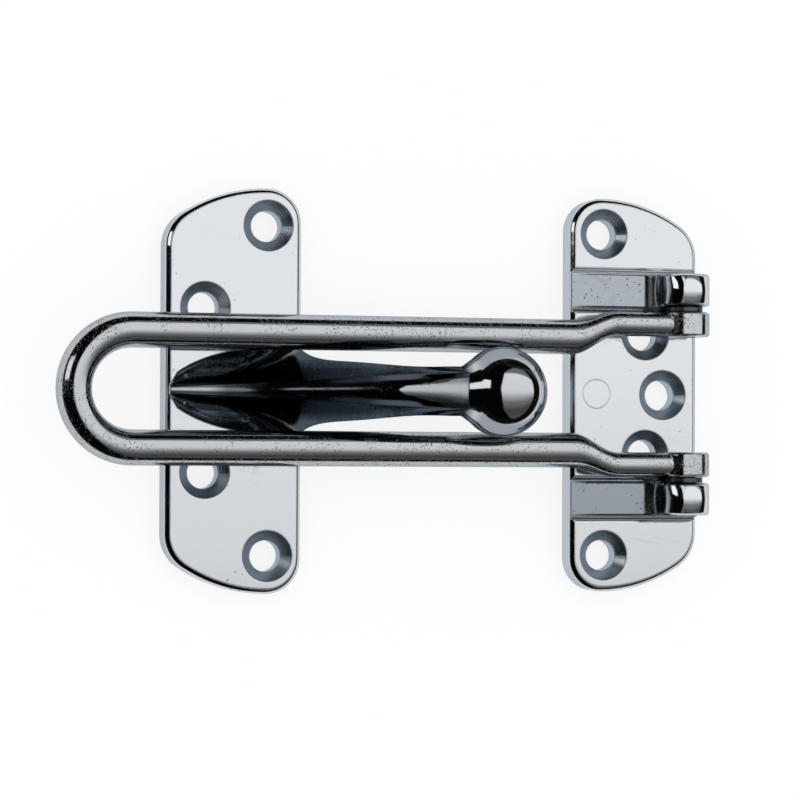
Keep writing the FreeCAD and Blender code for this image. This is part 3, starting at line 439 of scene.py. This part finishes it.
    # the countersinks: duller, rougher plating, and painted shade that darkens the recess
    if inside is not None:
        dullAndShaded = addNode(tree, "ShaderNodeMix", data_type="RGBA")
        link(inside, dullAndShaded.inputs[0])
        link(colour, dullAndShaded.inputs[6])
        dullAndShaded.inputs[7].default_value = (*look["sinkTint"], 1)
        # a dark line of painted shade along each countersink's rim
        outline = addNode(tree, "ShaderNodeMix", data_type="RGBA")
        link(math2(tree, "MULTIPLY", rims, look["rimShade"]), outline.inputs[0])
        link(dullAndShaded.outputs[2], outline.inputs[6])
        outline.inputs[7].default_value = (*look["speckTint"], 1)
        colour = outline.outputs[2]
        rough = math2(tree, "ADD", rough, math2(tree, "MULTIPLY", inside, look["sinkRoughness"]))
    if look["edgeRound"]:
        # turns the flat bevel into a round, by its height alone; countersinks are left out
        edge = look["edgeRound"]
        down = math2(tree, "SUBTRACT", edge["top"], across.outputs[2])
        down = math2(tree, "DIVIDE", down, edge["top"] - edge["bottom"], clamp=True)
        rise = math2(tree, "SUBTRACT", edge["outset"] / look["bumpDepth"],
                     math2(tree, "MULTIPLY", down, edge["turning"] / look["bumpDepth"]))
        rise = math2(tree, "MULTIPLY", rise, down)
        if inside is not None:
            rise = math2(tree, "MULTIPLY", rise, math2(tree, "SUBTRACT", 1.0, inside))
        height = math2(tree, "ADD", height, rise)
    link(colour, shader.inputs["Base Color"])
    link(rough, shader.inputs["Roughness"])
    edges = addNode(tree, "ShaderNodeBevel", samples=look["edgeSamples"], Radius=look["softEdge"])
    bump = addNode(tree, "ShaderNodeBump", Strength=1.0, Distance=look["bumpDepth"])
    link(edges.outputs[0], bump.inputs["Normal"])
    link(height, bump.inputs["Height"])
    link(bump.outputs[0], shader.inputs["Normal"])
    return material


# the plates lie on either side of this x, in metres
betweenPlates = -0.03
holes = screwHoleCentres()
hingeHoles = [centre for centre in holes if centre[0] > betweenPlates]
ballHoles = [centre for centre in holes if centre[0] < betweenPlates]
finishes = {
    "hinge_plate": makeChrome("hingePlateChrome", castPlating, hingeHoles, hingeZones),
    "ball_plate": makeChrome("ballPlateChrome", castPlating, ballHoles, ballZones),
    "swing_bar": makeChrome("barChrome", barPlating),
}
shadedPinFinish = makeChrome("pinSteelPaintedShade", pinSteelPaintedShade)
for name, item in nodes.items():
    item.data.materials.clear()
    item.data.materials.append(finishes.get(name, shadedPinFinish))


print("floor, cards and lights")
stageLook = {
    # the floor lies just under the plates' backs
    "floorSize": 6.0, "floorHeight": -0.0002, "floorColour": (0.17, 0.172, 0.175), "floorGlow": 0.82,
    "worldStrength": 1.06, "dullRoughness": 0.9,
    "cardColour": (0.012, 0.012, 0.013), "cardRadius": 1.5, "cardTop": 0.43, "cardSides": 96,
    # the panel's outline, narrow towards the bottom of the picture
    "panelOutline": [(0.47, -1.36), (0.82, -0.78), (0.96, -0.15), (0.90, 0.38), (0.62, 0.72),
                     (0.20, 0.70), (-0.10, 0.45), (-0.18, 0.05), (-0.12, -0.42), (0.13, -0.98)],
    "panelHeight": 0.40, "panelStrength": 1.22,
    # brightness of the panel along its length, from its far end to its near end
    "panelFade": [(0.0, 0.13), (0.44, 0.08), (0.55, 0.20), (0.59, 0.42), (0.615, 0.62), (0.64, 0.86),
                  (0.67, 0.98), (0.83, 1.0), (0.86, 0.2)],
    "leftOutline": [(-0.72, 0.10, 0.20), (-0.72, 0.38, 0.20), (-0.50, 0.30, 0.42), (-0.50, 0.08, 0.42)],
    "leftStrength": 1.4,
}


def plainMaterial(name, colour):
    material = bpy.data.materials.new(name)
    material.use_nodes = True
    shader = material.node_tree.nodes["Principled BSDF"]
    shader.inputs["Base Color"].default_value = (*colour, 1)
    shader.inputs["Roughness"].default_value = stageLook["dullRoughness"]
    shader.inputs["Specular IOR Level"].default_value = 0.0
    return material


def makeFloor():
    bpy.ops.mesh.primitive_plane_add(size=stageLook["floorSize"], location=(0, 0, stageLook["floorHeight"]))
    floor = bpy.context.object
    floor.name = "floor"
    material = plainMaterial("paleFloor", stageLook["floorColour"])
    # a white table to the camera and in the metal, which keeps the object's shadow
    tree = material.node_tree
    rays = addNode(tree, "ShaderNodeLightPath")
    seen = math2(tree, "MAXIMUM", rays.outputs["Is Camera Ray"], rays.outputs["Is Glossy Ray"])
    seen = math2(tree, "MAXIMUM", seen, rays.outputs["Is Transmission Ray"])
    shader = tree.nodes["Principled BSDF"]
    shader.inputs["Emission Color"].default_value = (1, 1, 1, 1)
    tree.links.new(math2(tree, "MULTIPLY", seen, stageLook["floorGlow"]), shader.inputs["Emission Strength"])
    floor.data.materials.append(material)


def onlyForMetal(item):
    # a card that shows in the polished metal and nowhere else
    item.visible_camera = False
    item.visible_shadow = False
    item.visible_diffuse = False


def makeDarkTent():
    # dark cards round and over the table
    card = plainMaterial("darkCard", stageLook["cardColour"])
    radius, top, sides = stageLook["cardRadius"], stageLook["cardTop"], stageLook["cardSides"]
    bpy.ops.mesh.primitive_cylinder_add(vertices=sides, radius=radius, depth=top, end_fill_type="NOTHING",
                                        location=(0, 0, top / 2))
    ring = bpy.context.object
    bpy.ops.mesh.primitive_circle_add(vertices=sides, radius=radius, fill_type="NGON", location=(0, 0, top))
    lid = bpy.context.object
    for name, item in (("darkRing", ring), ("darkLid", lid)):
        item.name = name
        item.data.materials.append(card)
        onlyForMetal(item)


def glowCard(name, corners, strength, fade=None):
    # a soft light panel; the fade runs along its length
    mesh = bpy.data.meshes.new(name)
    mesh.from_pydata(corners, [], [range(len(corners))])
    card = bpy.data.objects.new(name, mesh)
    bpy.context.scene.collection.objects.link(card)
    material = bpy.data.materials.new(name + "Glow")
    material.use_nodes = True
    tree = material.node_tree
    tree.nodes.clear()
    glow = addNode(tree, "ShaderNodeEmission", Strength=strength)
    if fade:
        along = addNode(tree, "ShaderNodeSeparateXYZ")
        tree.links.new(addNode(tree, "ShaderNodeTexCoord").outputs["Generated"], along.inputs[0])
        tree.links.new(ramp(tree, along.outputs[1], fade), glow.inputs[0])
    surface = addNode(tree, "ShaderNodeOutputMaterial")
    tree.links.new(glow.outputs[0], surface.inputs[0])
    mesh.materials.append(material)
    onlyForMetal(card)


makeFloor()
makeDarkTent()
glowCard("softPanel", [(x, y, stageLook["panelHeight"]) for x, y in stageLook["panelOutline"]],
         stageLook["panelStrength"], stageLook["panelFade"])
glowCard("leftCard", stageLook["leftOutline"], stageLook["leftStrength"])

world = bpy.data.worlds.new("paleRoom")
bpy.context.scene.world = world
world.use_nodes = True
background = world.node_tree.nodes["Background"]
background.inputs["Color"].default_value = (1, 1, 1, 1)
background.inputs["Strength"].default_value = stageLook["worldStrength"]


print("camera")
# placed by the plates' edges, the screw holes and the ball in the photograph
cameraLook = {
    "place": (-0.20317, -0.01411, 0.53027), "turn": (0.02207, -0.29457, 0.00399),
    "focalPixels": 3149.9, "imageWidth": 800, "sensor": 36.0, "near": 0.01, "far": 20,
}
cameraData = bpy.data.cameras.new("camera")
cameraData.sensor_width = cameraLook["sensor"]
cameraData.lens = cameraLook["sensor"] * cameraLook["focalPixels"] / cameraLook["imageWidth"]
cameraData.clip_start, cameraData.clip_end = cameraLook["near"], cameraLook["far"]
camera = bpy.data.objects.new("camera", cameraData)
bpy.context.scene.collection.objects.link(camera)
camera.location = cameraLook["place"]
camera.rotation_euler = Euler(cameraLook["turn"], "XYZ")
bpy.context.scene.camera = camera
bpy.context.scene.view_settings.view_transform = "Standard"
